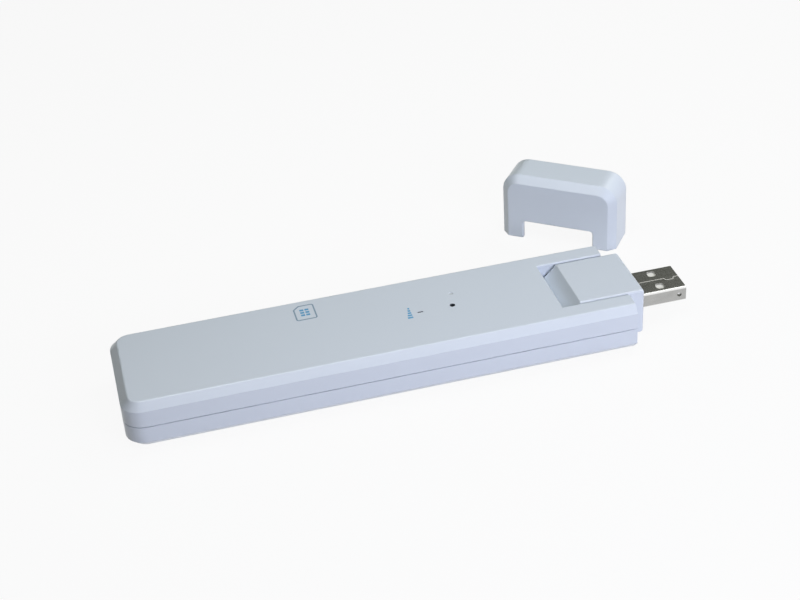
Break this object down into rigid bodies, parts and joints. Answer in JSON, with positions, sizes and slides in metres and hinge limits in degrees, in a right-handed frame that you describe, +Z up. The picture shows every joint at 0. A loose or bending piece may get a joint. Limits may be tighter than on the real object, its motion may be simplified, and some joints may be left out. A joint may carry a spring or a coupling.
{
  "type": "wifi data stick",
  "caption": "Flat white modem stick with bevelled casing shells, a USB plug head that swings up between its arms, its inner electronics, and its cap standing beside it.",
  "frame": {"origin": "centre of the casing's bottom face", "axes": "+X along the casing towards the USB plug, +Z up, +Y to the side with the card slot"},
  "size_m": [0.16, 0.0816, 0.0209],
  "materials": {
    "casing_plastic": "glossy white, faintly blue",
    "plug_steel": "nickel-plated sheet",
    "insulator_plastic": "pale",
    "contact_metal": "gold-plated",
    "board_laminate": "satin solder mask",
    "can_metal": "tinned sheet",
    "chip_plastic": "matt black",
    "coil_ferrite": "matt dark grey",
    "ceramic": "tan",
    "button_plastic": "matt black",
    "light_body": "pale resin",
    "guide_plastic": "grey, slightly clear",
    "antenna_copper": "copper foil",
    "flex_film": "amber film",
    "connector_plastic": "ivory"
  },
  "bodies": {
    "stick": {"upper_shell": "casing_plastic", "lower_shell": "casing_plastic", "plug_cap": "casing_plastic", "circuit_board": "board_laminate", "modem_shield": "can_metal", "modem_chip": "chip_plastic", "memory_chip": "chip_plastic", "wifi_shield": "can_metal", "wifi_chip": "chip_plastic", "power_chip": "chip_plastic", "power_coil": "coil_ferrite", "crystal": "can_metal", "capacitors": "ceramic", "sim_socket_base": "chip_plastic", "sim_contacts": "contact_metal", "sim_socket_cover": "can_metal", "reset_switch": "chip_plastic", "window_light": "light_body", "window_light_guide": "guide_plastic", "dot_light": "light_body", "dot_light_guide": "guide_plastic", "antenna_carrier": "chip_plastic", "main_antenna": "antenna_copper", "side_antenna": "antenna_copper", "small_antenna": "ceramic", "cable_connector": "connector_plastic", "flat_cable": "flex_film"},
    "head": {"plug_head": "casing_plastic", "usb_shell": "plug_steel", "usb_insulator": "insulator_plastic", "usb_contact_1": "contact_metal", "usb_contact_2": "contact_metal", "usb_contact_3": "contact_metal", "usb_contact_4": "contact_metal", "plug_flex": "flex_film"},
    "reset_button": {"reset_plunger": "button_plastic"}
  },
  "joints": [
    {"name": "plug_swing", "type": "hinge", "parent": "stick", "child": "head", "pos_m": [0.0594, 0, 0.0071], "axis": [0, -1, 0], "range_deg": [0, 90]},
    {"name": "reset_press", "type": "slide", "parent": "stick", "child": "reset_button", "axis": [0, 0, -1], "range_m": [0, 0.00025], "stiffness_N_per_m": 4000, "springref_m": -0.0001}
  ]
}
